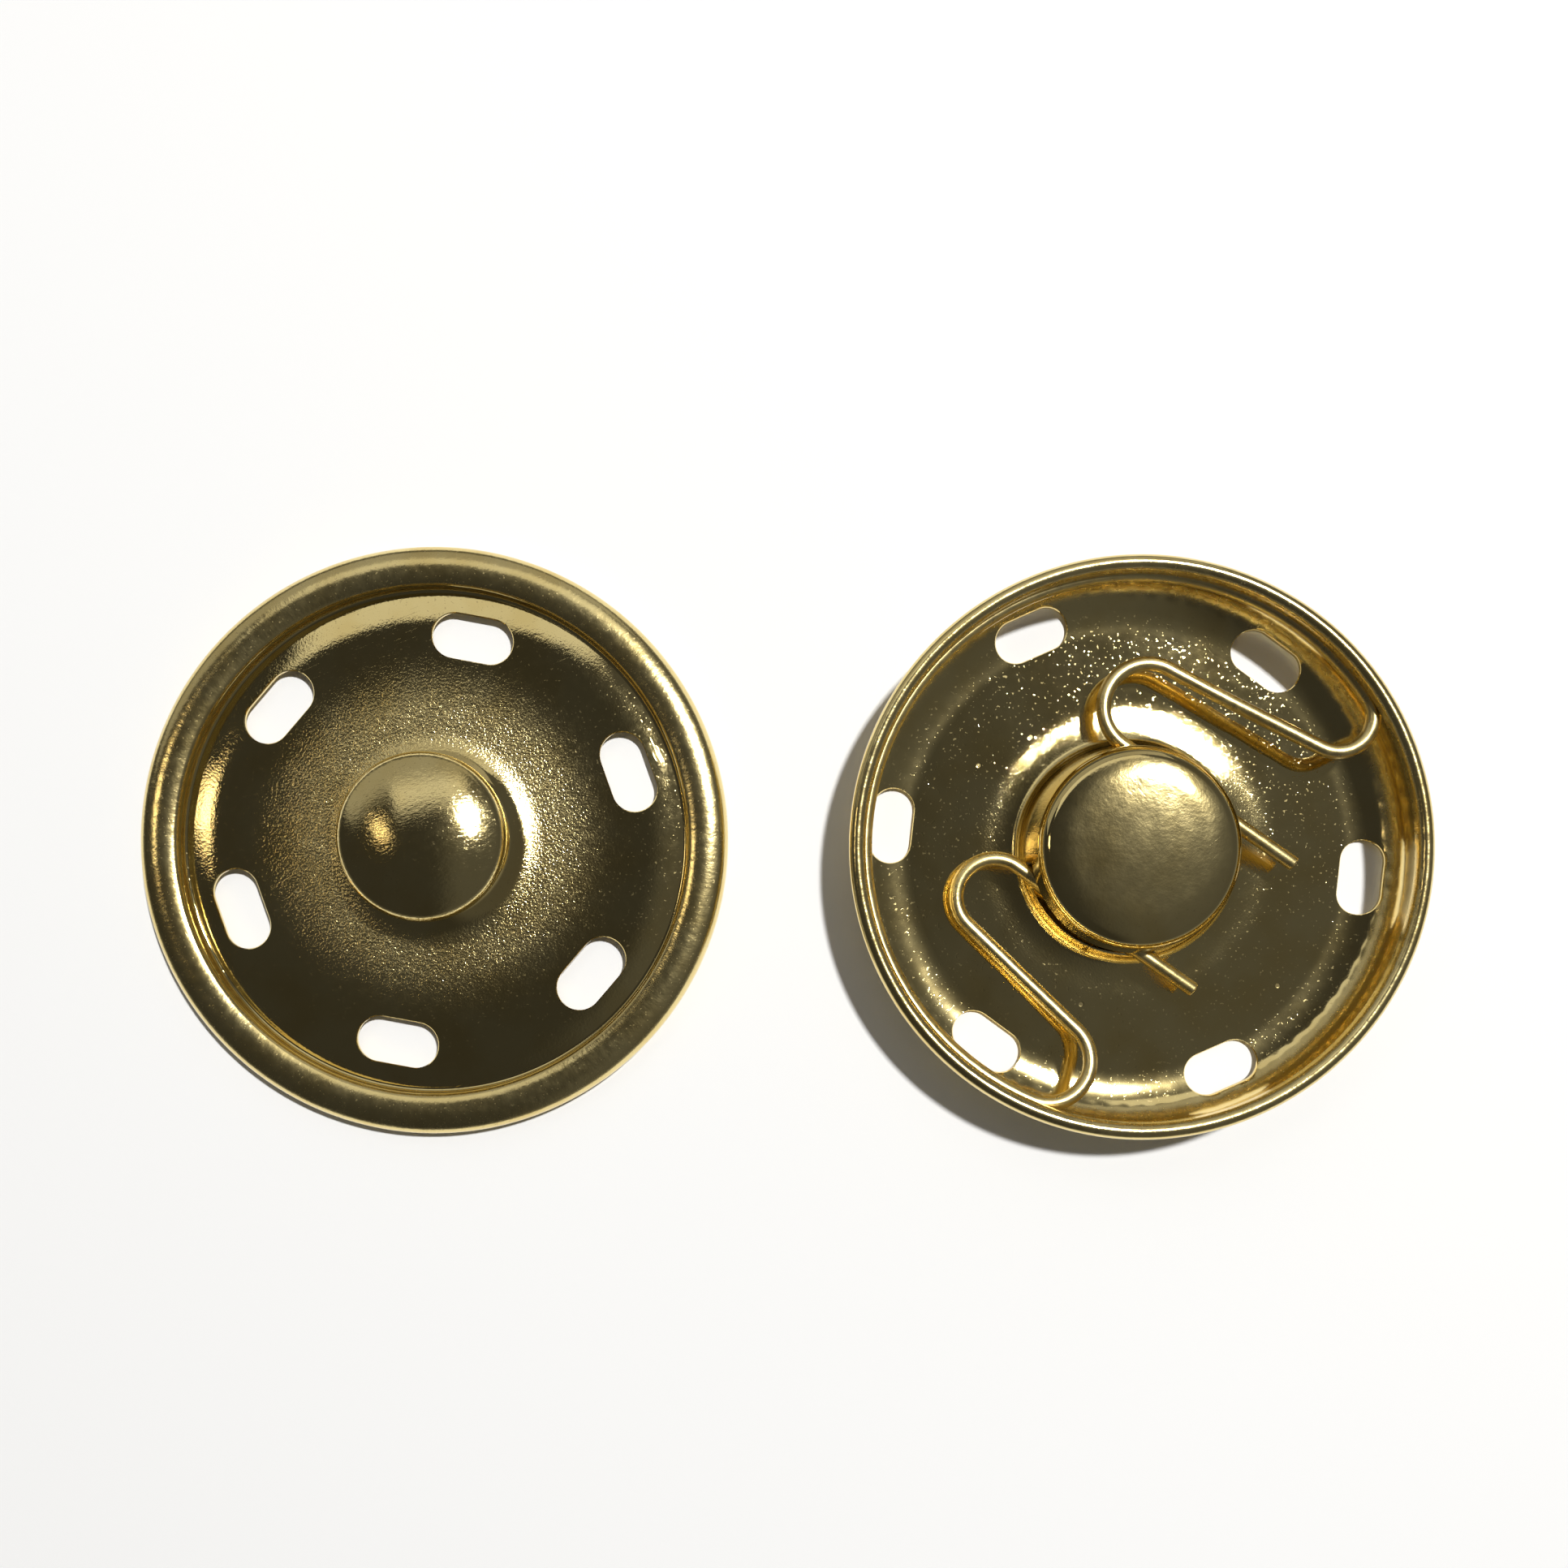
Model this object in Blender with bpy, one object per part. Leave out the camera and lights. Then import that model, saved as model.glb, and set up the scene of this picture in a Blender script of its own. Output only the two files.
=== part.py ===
"""A large sew-on snap fastener, its two halves lying side by side.

The stud half lies with its stud up. The socket half lies on its mating face, so its
back shows: the cup that takes the stud, and the wire spring that grips the stud's neck.
Each half is one drawn sheet. A sheet's section is the path of its upper surface, made of
arcs joined by tangent lines, and the same path moved down by the sheet's thickness.
The path runs from the middle outwards. A turn to the left has a positive radius.
"""

import math

import bpy
import bmesh
from mathutils import Matrix, Vector

MM = 0.001

# Both halves
SHEET = 0.30 * MM
SLOT_COUNT = 6
STUD_DIAMETER = 29.7 * MM
SOCKET_DIAMETER = 28.4 * MM
CENTRE_SPACING = 35.1 * MM
SOCKET_SHIFT = -0.55 * MM

# Socket half: cup
SOCKET_HEIGHT = 4.7 * MM
CAP_DOME_RADIUS = 45.0 * MM
CAP_EDGE_RADIUS = 5.0 * MM
CAP_EDGE_ROUND = 0.8 * MM
MOUTH_RADIUS = 7.1 * MM
MOUTH_ROUND = 1.7 * MM

# Socket half: bowl, wall and curled rim, with radii taken on the mating side
BOWL_RADIUS = 6.0 * MM
BOWL_TILT = math.radians(18.5)
CORNER_RADIUS = 1.7 * MM
WALL_LEAN = 1.436 * MM
CURL_RADIUS = 0.4 * MM
CURL_END = math.radians(264.0)
LIP_LENGTH = 0.42 * MM

# Socket half: sewing slots
SOCKET_SLOT_LENGTH = 3.8 * MM
SOCKET_SLOT_WIDTH = 2.1 * MM
SOCKET_SLOT_MARGIN = 1.15 * MM
SOCKET_SLOT_TURN = math.radians(53.7)

# Wire spring
WIRE_DIAMETER = 0.75 * MM
LEG_OFFSET = 4.0 * MM
LEG_HEIGHT = 2.2 * MM
SPRING_TURN = math.radians(-35.0)
RING_CLEARANCE = 0.04 * MM
SLIT_CLEARANCE = 0.12 * MM

# One hairpin of the spring on each side of the cup. Along is measured from the cup's
# centre towards the free ends, and the hook's angle from that direction to the rim.
NEAR_HAIRPIN = {
    "tail_along": 7.0 * MM,
    "turn_along": -3.45 * MM,
    "turn_radius": 2.2 * MM,
    "hook_radius": 1.65 * MM,
    "hook_angle": math.radians(67.9),
}
FAR_HAIRPIN = {
    "tail_along": 6.5 * MM,
    "turn_along": -4.3 * MM,
    "turn_radius": 1.9 * MM,
    "hook_radius": 2.1 * MM,
    "hook_angle": math.radians(77.9),
}

# Stud half: stud
FLOOR_HEIGHT = 0.8 * MM
CROWN_CLEARANCE = 0.2 * MM
GRIP_CLEARANCE = 0.075 * MM
HEAD_RADIUS = 4.19 * MM
HEAD_ROUND = 0.7 * MM
FLARE_RADIUS = 1.3 * MM
NECK_STRAIGHT = 0.02 * MM

# Stud half: outer zone and curled bead
BEAD_WIDTH = 2.25 * MM
BEAD_HEIGHT = 1.6 * MM
SHOULDER_WIDTH = 1.9 * MM
SHOULDER_RADIUS = 8.0 * MM
VALLEY_ROUND = 0.2 * MM
VALLEY_DEPTH = 0.2 * MM
BEAD_INNER_ROUND = 0.5 * MM
BEAD_OUTER_ROUND = 0.6 * MM
BEAD_CREST_INSET = 0.9 * MM
BEAD_TOP_RADIUS = 3.0 * MM
BEAD_INNER_LEAN = math.radians(8.0)
HEM_RADIUS = 0.45 * MM
HEM_LENGTH = 0.2 * MM

# Stud half: sewing slots
STUD_SLOT_LENGTH = 4.15 * MM
STUD_SLOT_WIDTH = 2.3 * MM
STUD_SLOT_MARGIN = 1.05 * MM
STUD_SLOT_TURN = math.radians(19.5)

# Fineness
TURN_STEPS = 48
SECTION_SAG = 0.02 * MM
WIDEST_STEP = math.radians(36.0)
WIRE_SAG = 0.015 * MM
WIRE_SIDE_BEVEL = 3
SLOT_END_STEPS = 8
MERGE = 0.003 * MM
SHARP_ANGLE = math.radians(40.0)

HALF_TURN = math.pi
FULL_TURN = 2.0 * math.pi
WIRE_RADIUS = WIRE_DIAMETER / 2.0


def clear_scene():
    for item in list(bpy.data.objects):
        bpy.data.objects.remove(item, do_unlink=True)


def left_of(heading):
    return Vector((-math.sin(heading), math.cos(heading)))


def tangent_heading(first, second):
    """Heading of the straight run from one arc to the next, each (centre, radius)."""
    (centre_a, radius_a), (centre_b, radius_b) = first, second
    reach = centre_b - centre_a
    lean = (radius_b - radius_a) / reach.length
    return math.atan2(reach.y, reach.x) - math.asin(max(-1.0, min(1.0, lean)))


def facet_count(sweep, radius, sag):
    """Number of chords for an arc, so that none leaves the arc by more than sag."""
    step = 2.0 * math.acos(max(0.0, 1.0 - sag / max(abs(radius), sag)))
    return max(1, math.ceil(abs(sweep) / min(step, WIDEST_STEP)))


def arc_path(arcs, start, end, widen=0.0, sag=SECTION_SAG, runs=None):
    """Points along arcs given as (centre, signed radius), joined by tangent runs.

    start and end are the headings at the two ends. widen is added to each radius, which
    moves the whole path to its right and keeps its arcs concentric.
    """
    headings = [start]
    for first, second in zip(arcs, arcs[1:]):
        headings.append(tangent_heading(first, second))
    headings.append(end)
    points = []
    for index, (centre, radius) in enumerate(arcs):
        begin = headings[index]
        sweep = headings[index + 1] - begin
        while radius > 0.0 and sweep < -MERGE:
            sweep += FULL_TURN
        while radius < 0.0 and sweep > MERGE:
            sweep -= FULL_TURN
        count = facet_count(sweep, radius + widen, sag)
        for number in range(count + 1):
            heading = begin + sweep * number / count
            points.append(centre - (radius + widen) * left_of(heading))
        headings[index + 1] = begin + sweep
        if runs is not None:
            runs.append(len(points) - 1)
    return points


def drop_doubles(points):
    kept = [points[0]]
    for point in points[1:]:
        if (point - kept[-1]).length > MERGE:
            kept.append(point)
    return kept


def make_material(name, colour, roughness):
    material = bpy.data.materials.new(name)
    material.use_nodes = True
    shader = material.node_tree.nodes["Principled BSDF"]
    shader.inputs["Base Color"].default_value = (*colour, 1.0)
    shader.inputs["Metallic"].default_value = 1.0
    shader.inputs["Roughness"].default_value = roughness
    return material


def add_object(name, mesh, material, place):
    part = bpy.data.objects.new(name, mesh)
    bpy.context.collection.objects.link(part)
    part.location = place
    if material is not None:
        mesh.materials.clear()
        mesh.materials.append(material)
    return part


def spin_sheet(name, arcs, start, end, tail, material, place):
    """Turn a sheet's section about its middle. tail is the straight end of the section."""
    upper = arc_path(arcs, start, end)
    lower = arc_path(arcs, start, end, widen=SHEET)
    if tail > 0.0:
        reach = tail * Vector((math.cos(end), math.sin(end)))
        upper.append(upper[-1] + reach)
        lower.append(lower[-1] + reach)
    section = drop_doubles(upper) + drop_doubles(lower)[::-1]

    bm = bmesh.new()
    corners = [bm.verts.new((max(point.x, 0.0), 0.0, point.y)) for point in section]
    edges = [bm.edges.new(pair) for pair in zip(corners, corners[1:])]
    bmesh.ops.spin(
        bm,
        geom=corners + edges,
        cent=(0.0, 0.0, 0.0),
        axis=(0.0, 0.0, 1.0),
        angle=FULL_TURN,
        steps=TURN_STEPS,
        use_merge=True,
    )
    bmesh.ops.remove_doubles(bm, verts=bm.verts, dist=MERGE)
    bmesh.ops.recalc_face_normals(bm, faces=bm.faces)
    mesh = bpy.data.meshes.new(name)
    bm.to_mesh(mesh)
    bm.free()
    mesh.shade_smooth()
    mesh.set_sharp_from_angle(angle=SHARP_ANGLE)
    return add_object(name, mesh, material, place)


def add_cut(part, name, bm):
    """Cut the shape in bm out of part, with both in part's own axes."""
    bmesh.ops.recalc_face_normals(bm, faces=bm.faces)
    mesh = bpy.data.meshes.new(name)
    bm.to_mesh(mesh)
    bm.free()
    cutter = add_object(name, mesh, None, part.location)
    cutter.hide_render = True
    cutter.display_type = "WIRE"
    cut = part.modifiers.new(name, "BOOLEAN")
    cut.operation = "DIFFERENCE"
    cut.solver = "EXACT"
    cut.object = cutter


def cut_slots(part, circle, length, width, turn, top):
    """Six slots with round ends, long side along the circle that they stand on.

    The cut reaches from the table up to top, above the sheet.
    """
    bm = bmesh.new()
    half_run = (length - width) / 2.0
    for number in range(SLOT_COUNT):
        stand = Matrix.Rotation(turn + FULL_TURN * number / SLOT_COUNT, 4, "Z")
        outline = []
        for side in (1.0, -1.0):
            for step in range(SLOT_END_STEPS + 1):
                angle = HALF_TURN * step / SLOT_END_STEPS
                across = side * width / 2.0 * math.cos(angle)
                along = side * (half_run + width / 2.0 * math.sin(angle))
                outline.append(bm.verts.new(stand @ Vector((circle + across, along, -SHEET))))
        face = bm.faces.new(outline)
        raised = bmesh.ops.extrude_face_region(bm, geom=[face])["geom"]
        moved = [item for item in raised if isinstance(item, bmesh.types.BMVert)]
        bmesh.ops.translate(bm, verts=moved, vec=(0.0, 0.0, top + SHEET))
    add_cut(part, part.name + "_slot_cutter", bm)


def socket_section():
    """Arcs of the socket's upper surface, and its headings at the middle and the lip."""
    ball = SOCKET_HEIGHT - CAP_DOME_RADIUS
    edge_centre = CAP_EDGE_RADIUS - CAP_EDGE_ROUND
    edge_height = ball + math.sqrt((CAP_DOME_RADIUS - CAP_EDGE_ROUND) ** 2 - edge_centre ** 2)
    curl = Vector((SOCKET_DIAMETER / 2.0 - CURL_RADIUS, SOCKET_HEIGHT - CURL_RADIUS))
    corner_in = curl.x - WALL_LEAN
    reach = BOWL_RADIUS - CORNER_RADIUS
    bowl_in = corner_in - reach * math.sin(BOWL_TILT)
    corner_height = BOWL_RADIUS - reach * math.cos(BOWL_TILT)
    arcs = [
        (Vector((0.0, ball)), -CAP_DOME_RADIUS),
        (Vector((edge_centre, edge_height)), -CAP_EDGE_ROUND),
        (Vector((MOUTH_RADIUS, SHEET + MOUTH_ROUND)), MOUTH_ROUND),
        (Vector((bowl_in, BOWL_RADIUS)), BOWL_RADIUS - SHEET),
        (Vector((corner_in, corner_height)), CORNER_RADIUS - SHEET),
        (curl, CURL_RADIUS - SHEET),
    ]
    return arcs, 0.0, CURL_END


def socket_wall(height):
    """Radius of the socket wall's inner face at a height above the bowl's corner."""
    arcs, _, _ = socket_section()
    corner, curl = arcs[-2], arcs[-1]
    heading = tangent_heading(corner, curl)
    foot = corner[0] - corner[1] * left_of(heading)
    return foot.x + (height - foot.y) / math.tan(heading)


def lip_height():
    """Height of the lowest point of the curled rim's lip."""
    arcs, start, end = socket_section()
    curled = arcs[-1:]
    inner = arc_path(curled, end, end)[-1].y
    outer = arc_path(curled, end, end, widen=SHEET)[-1].y
    return min(inner, outer) + LIP_LENGTH * math.sin(end)


def make_socket(material, place):
    arcs, start, end = socket_section()
    socket = spin_sheet("socket_half", arcs, start, end, LIP_LENGTH, material, place)
    rim = SOCKET_DIAMETER / 2.0
    circle = rim - SOCKET_SLOT_MARGIN - SOCKET_SLOT_WIDTH / 2.0
    above_bowl = SOCKET_HEIGHT / 2.0
    cut_slots(socket, circle, SOCKET_SLOT_LENGTH, SOCKET_SLOT_WIDTH, SOCKET_SLOT_TURN, above_bowl)
    cut_slits(socket)
    return socket


def cut_slits(socket):
    """Two long slits across the cup's wall, one for each leg of the spring.

    The cut stops at the cup's mouth, where the sheet lies below the legs.
    """
    inner = LEG_OFFSET - WIRE_RADIUS - SLIT_CLEARANCE
    height = WIRE_DIAMETER + 2.0 * SLIT_CLEARANCE
    bm = bmesh.new()
    stand = Matrix.Rotation(SPRING_TURN, 4, "Z")
    for side in (1.0, -1.0):
        size = (2.0 * MOUTH_RADIUS, MOUTH_RADIUS - inner, height)
        middle = Vector((0.0, side * (inner + MOUTH_RADIUS) / 2.0, LEG_HEIGHT))
        frame = stand @ Matrix.Translation(middle) @ Matrix.Diagonal((*size, 1.0))
        bmesh.ops.create_cube(bm, size=1.0, matrix=frame)
    add_cut(socket, "slit_cutter", bm)


def hairpin_route(pin, ring_radius, ring_height):
    """Route of one side of the spring, from its free end to where it joins the ring."""
    turn = Vector((pin["turn_along"], LEG_OFFSET + pin["turn_radius"]))
    hook_reach = ring_radius - pin["hook_radius"]
    hook_angle = pin["hook_angle"]
    hook = hook_reach * Vector((math.cos(hook_angle), math.sin(hook_angle)))
    arcs = [(turn, -pin["turn_radius"]), (hook, pin["hook_radius"])]
    leaving = hook_angle + HALF_TURN / 2.0
    runs = []
    flat = arc_path(arcs, HALF_TURN, leaving, sag=WIRE_SAG, runs=runs)
    flat = [Vector((pin["tail_along"], LEG_OFFSET))] + flat
    rise_from = runs[0] + 1

    lengths = [0.0]
    for before, after in zip(flat, flat[1:]):
        lengths.append(lengths[-1] + (after - before).length)
    total = lengths[-1] - lengths[rise_from]
    route = []
    for point, length in zip(flat, lengths):
        share = max(0.0, (length - lengths[rise_from]) / total)
        eased = share * share * (3.0 - 2.0 * share)
        height = LEG_HEIGHT + (ring_height - LEG_HEIGHT) * eased
        route.append(Vector((point.x, point.y, height)))
    return route


def spring_route():
    """The whole wire: one hairpin, the ring under the curled rim, the other hairpin."""
    ring_height = lip_height() - RING_CLEARANCE - WIRE_RADIUS
    widest = ring_height - WIRE_RADIUS
    ring_radius = socket_wall(widest) - WIRE_RADIUS - RING_CLEARANCE
    near = hairpin_route(NEAR_HAIRPIN, ring_radius, ring_height)
    far = hairpin_route(FAR_HAIRPIN, ring_radius, ring_height)
    far = [Vector((point.x, -point.y, point.z)) for point in far]

    begin = NEAR_HAIRPIN["hook_angle"]
    sweep = FULL_TURN - begin - FAR_HAIRPIN["hook_angle"]
    count = math.ceil(sweep / (FULL_TURN / TURN_STEPS))
    ring = []
    for number in range(1, count):
        angle = begin + sweep * number / count
        spot = (ring_radius * math.cos(angle), ring_radius * math.sin(angle), ring_height)
        ring.append(Vector(spot))
    return near + ring + far[::-1]


def make_spring(material, place):
    curve = bpy.data.curves.new("wire_spring", "CURVE")
    curve.dimensions = "3D"
    curve.bevel_depth = WIRE_RADIUS
    curve.bevel_resolution = WIRE_SIDE_BEVEL
    curve.use_fill_caps = True
    route = drop_doubles(spring_route())
    spline = curve.splines.new("POLY")
    spline.points.add(len(route) - 1)
    for spot, point in zip(spline.points, route):
        spot.co = (*point, 1.0)
    curve.materials.append(material)
    spring = bpy.data.objects.new("wire_spring", curve)
    bpy.context.collection.objects.link(spring)
    spring.location = place
    spring.rotation_euler = (0.0, 0.0, SPRING_TURN)
    return spring


def stud_section():
    """Arcs of the stud half's upper surface, and its headings at the two ends."""
    crown = FLOOR_HEIGHT + SOCKET_HEIGHT - SHEET - CROWN_CLEARANCE
    neck = LEG_OFFSET - WIRE_RADIUS - GRIP_CLEARANCE
    flare = Vector((neck + FLARE_RADIUS, FLOOR_HEIGHT + FLARE_RADIUS))
    head_in = HEAD_RADIUS - HEAD_ROUND
    gap = FLARE_RADIUS + HEAD_ROUND
    head_up = flare.y + math.sqrt(max(gap ** 2 - (flare.x - head_in) ** 2, 0.0)) + NECK_STRAIGHT
    rise = crown - head_up
    dome = (head_in ** 2 + rise ** 2 - HEAD_ROUND ** 2) / (2.0 * (rise - HEAD_ROUND))

    rim = STUD_DIAMETER / 2.0
    valley_in = rim - BEAD_WIDTH
    shoulder_in = valley_in - SHOULDER_WIDTH
    valley_up = FLOOR_HEIGHT - VALLEY_DEPTH + VALLEY_ROUND
    crest = Vector((rim - BEAD_CREST_INSET, BEAD_HEIGHT - BEAD_TOP_RADIUS))
    inner = crest + (BEAD_TOP_RADIUS - BEAD_INNER_ROUND) * left_of(BEAD_INNER_LEAN)
    outer_reach = BEAD_TOP_RADIUS - BEAD_OUTER_ROUND
    outer_lean = math.asin((rim - BEAD_OUTER_ROUND - crest.x) / outer_reach)
    outer = crest + outer_reach * left_of(-outer_lean)
    hem = Vector((rim - HEM_RADIUS, HEM_RADIUS))
    arcs = [
        (Vector((0.0, crown - dome)), -dome),
        (Vector((head_in, head_up)), -HEAD_ROUND),
        (flare, FLARE_RADIUS),
        (Vector((shoulder_in, FLOOR_HEIGHT - SHOULDER_RADIUS)), -SHOULDER_RADIUS),
        (Vector((valley_in, valley_up)), VALLEY_ROUND),
        (inner, -BEAD_INNER_ROUND),
        (crest, -BEAD_TOP_RADIUS),
        (outer, -BEAD_OUTER_ROUND),
        (hem, -HEM_RADIUS),
    ]
    return arcs, 0.0, -HALF_TURN


def make_stud(material, place):
    arcs, start, end = stud_section()
    stud = spin_sheet("stud_half", arcs, start, end, HEM_LENGTH, material, place)
    valley = STUD_DIAMETER / 2.0 - BEAD_WIDTH
    circle = valley - STUD_SLOT_MARGIN - STUD_SLOT_WIDTH / 2.0
    above_floor = FLOOR_HEIGHT + SHEET
    cut_slots(stud, circle, STUD_SLOT_LENGTH, STUD_SLOT_WIDTH, STUD_SLOT_TURN, above_floor)
    return stud


def build():
    clear_scene()
    left = -(CENTRE_SPACING + STUD_DIAMETER / 2.0 + SOCKET_DIAMETER / 2.0) / 2.0
    stud_place = Vector((left + STUD_DIAMETER / 2.0, 0.0, 0.0))
    socket_place = stud_place + Vector((CENTRE_SPACING, SOCKET_SHIFT, 0.0))
    plating = make_material("gilt_sheet", (0.52, 0.40, 0.16), 0.22)
    spring_wire = make_material("gilt_wire", (0.62, 0.48, 0.20), 0.12)
    make_stud(plating, stud_place)
    make_socket(plating, socket_place)
    make_spring(spring_wire, socket_place)
    bpy.context.view_layer.update()


build()
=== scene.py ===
import math

import bpy
import bmesh
from mathutils import Matrix, Vector


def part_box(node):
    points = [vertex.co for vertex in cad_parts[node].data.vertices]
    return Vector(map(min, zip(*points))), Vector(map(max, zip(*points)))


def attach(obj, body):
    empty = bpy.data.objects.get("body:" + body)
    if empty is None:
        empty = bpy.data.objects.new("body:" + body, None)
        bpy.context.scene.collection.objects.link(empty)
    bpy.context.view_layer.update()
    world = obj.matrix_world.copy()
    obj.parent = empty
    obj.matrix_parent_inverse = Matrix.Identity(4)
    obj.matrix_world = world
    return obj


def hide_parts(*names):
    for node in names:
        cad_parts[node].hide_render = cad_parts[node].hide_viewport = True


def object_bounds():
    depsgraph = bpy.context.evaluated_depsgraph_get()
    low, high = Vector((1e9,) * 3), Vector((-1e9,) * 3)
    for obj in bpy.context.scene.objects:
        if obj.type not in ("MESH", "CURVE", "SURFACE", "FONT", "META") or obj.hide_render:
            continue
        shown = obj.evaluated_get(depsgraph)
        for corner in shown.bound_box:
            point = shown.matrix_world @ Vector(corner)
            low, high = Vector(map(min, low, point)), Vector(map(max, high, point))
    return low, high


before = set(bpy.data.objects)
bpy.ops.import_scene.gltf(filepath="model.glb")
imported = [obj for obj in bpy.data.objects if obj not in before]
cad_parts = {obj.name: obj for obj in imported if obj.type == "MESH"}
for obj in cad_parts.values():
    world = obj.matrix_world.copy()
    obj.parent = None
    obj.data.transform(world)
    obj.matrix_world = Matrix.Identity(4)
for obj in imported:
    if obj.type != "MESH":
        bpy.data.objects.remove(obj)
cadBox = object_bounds()
scene = bpy.context.scene

# shapes are drawn in millimetres about their own axis, and settle() puts them in place in metres
mm = 0.001
fullTurn = 2.0 * math.pi
halfTurn = math.pi
tiny = 0.003
merge = 0.0005
noTurn = 1e-4

# both halves are drawn from sheet of one thickness
sheet = 0.30
smooth = {
    "turnSteps": 240,
    "sectionSag": 0.0008,
    "widestStep": math.radians(12.0),
    "slotEndSteps": 20,
    "hold": 0.02,
    "edgeShare": 0.3,
    "edgeSteps": 3,
}


def middleOf(node):
    low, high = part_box(node)
    return Vector(((low.x + high.x) / 2, (low.y + high.y) / 2, 0.0))


def rimOf(node):
    low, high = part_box(node)
    return (high.x - low.x) / 2 / mm


studPlace = middleOf("stud_half")
socketPlace = middleOf("socket_half")
studRim = rimOf("stud_half")
socketRim = rimOf("socket_half")


# a section is a path of arcs (centre, signed radius) with tangent straights between them

def leftOf(heading):
    return Vector((-math.sin(heading), math.cos(heading)))


def tangentHeading(first, second):
    (centreA, radiusA), (centreB, radiusB) = first, second
    reach = centreB - centreA
    lean = (radiusB - radiusA) / reach.length
    return math.atan2(reach.y, reach.x) - math.asin(max(-1.0, min(1.0, lean)))


def arcSweeps(arcs, start, end):
    headings = [start]
    headings += [tangentHeading(a, b) for a, b in zip(arcs, arcs[1:])]
    headings.append(end)
    sweeps = []
    for index, (centre, radius) in enumerate(arcs):
        sweep = headings[index + 1] - headings[index]
        while radius > 0 and sweep < -noTurn:
            sweep += fullTurn
        while radius < 0 and sweep > noTurn:
            sweep -= fullTurn
        headings[index + 1] = headings[index] + sweep
        sweeps.append((headings[index], sweep))
    return sweeps


def arcSteps(sweep, radius):
    step = 2 * math.acos(1 - min(1.0, smooth["sectionSag"] / abs(radius)))
    return max(1, math.ceil(abs(sweep) / min(step, smooth["widestStep"])))


def lastVert(result):
    return [item for item in result["geom_last"] if isinstance(item, bmesh.types.BMVert)][0]


def drawRun(bm, arcs, start, end, widen, tail=0.0):
    # a point spun round each arc's centre, and extruded along each straight
    vert = None
    for (centre, radius), (heading, sweep) in zip(arcs, arcSweeps(arcs, start, end)):
        spot = centre - (radius + widen) * leftOf(heading)
        target = Vector((max(spot.x, 0.0), 0.0, spot.y))
        if vert is None:
            vert = bm.verts.new(target)
        elif (vert.co - target).length > tiny:
            # points close to both ends keep the shading of a long straight flat
            run = target - vert.co
            hold = min(smooth["hold"], run.length / 3) * run.normalized()
            for stop in (vert.co + hold, target - hold, target):
                vert = bmesh.ops.extrude_vert_indiv(bm, verts=[vert])["verts"][0]
                vert.co = stop
        if abs(sweep) > noTurn:
            vert = lastVert(bmesh.ops.spin(
                bm, geom=[vert], cent=(centre.x, 0.0, centre.y), axis=(0.0, -1.0, 0.0),
                angle=sweep, steps=arcSteps(sweep, radius + widen)))
    if tail > 0:
        vert = bmesh.ops.extrude_vert_indiv(bm, verts=[vert])["verts"][0]
        vert.co += tail * Vector((math.cos(end), 0.0, math.sin(end)))
    return vert


def turnSheet(arcs, start, end, tail):
    bm = bmesh.new()
    upperEnd = drawRun(bm, arcs, start, end, 0.0, tail)
    lowerEnd = drawRun(bm, arcs, start, end, sheet, tail)
    # the cut edge of the sheet, slightly rounded
    bm.edges.new((upperEnd, lowerEnd))
    bmesh.ops.bevel(bm, geom=[upperEnd, lowerEnd], offset=sheet * smooth["edgeShare"],
                    segments=smooth["edgeSteps"], profile=0.5, affect="VERTICES", material=-1)
    bmesh.ops.spin(bm, geom=bm.verts[:] + bm.edges[:], cent=(0, 0, 0), axis=(0, 0, 1),
                   angle=fullTurn, steps=smooth["turnSteps"], use_merge=True)
    bmesh.ops.remove_doubles(bm, verts=bm.verts, dist=merge)
    bmesh.ops.recalc_face_normals(bm, faces=bm.faces)
    return bm


def pieceFrom(bm, name):
    mesh = bpy.data.meshes.new(name)
    bm.to_mesh(mesh)
    bm.free()
    piece = bpy.data.objects.new(name, mesh)
    scene.collection.objects.link(piece)
    return piece


def carve(piece, cutters):
    # the cutters stand clear of each other, so they are joined and cut in one go
    joined = bmesh.new()
    for cutter in cutters:
        joined.from_mesh(cutter.data)
        bpy.data.objects.remove(cutter)
    tool = pieceFrom(joined, "cutter")
    cut = piece.modifiers.new("cut", "BOOLEAN")
    cut.operation = "DIFFERENCE"
    cut.solver = "MANIFOLD"
    cut.object = tool
    bpy.context.view_layer.update()
    graph = bpy.context.evaluated_depsgraph_get()
    carved = bpy.data.meshes.new_from_object(piece.evaluated_get(graph))
    piece.modifiers.clear()
    rough = piece.data
    piece.data = carved
    carved.name = rough.name
    bpy.data.meshes.remove(rough)
    bpy.data.objects.remove(tool)


def settle(piece, place, sharpAngle):
    # place goes into the mesh, and the object stays at the origin
    piece.data.transform(Matrix.Translation(place) @ Matrix.Scale(mm, 4))
    piece.data.shade_smooth()
    piece.data.set_sharp_from_angle(angle=math.radians(sharpAngle))


# one slot cutter: a long hole with round ends, flared where it meets the sheet's two skins
slotFlare = {"reach": 0.09, "rise": 0.05, "middle": 0.45, "past": 2.2, "clear": 0.5}


def slotOutline(bm, length, width):
    halfRun = (length - width) / 2
    vert = bm.verts.new((-width / 2, -halfRun, 0.0))
    for centre in ((0.0, -halfRun, 0.0), (0.0, halfRun, 0.0)):
        vert = lastVert(bmesh.ops.spin(bm, geom=[vert], cent=centre, axis=(0, 0, 1),
                                       angle=halfTurn, steps=smooth["slotEndSteps"]))
        if centre[1] < 0:
            vert = bmesh.ops.extrude_vert_indiv(bm, verts=[vert])["verts"][0]
            vert.co.y = halfRun
    bm.verts.ensure_lookup_table()
    bm.edges.new((vert, bm.verts[0]))


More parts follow.
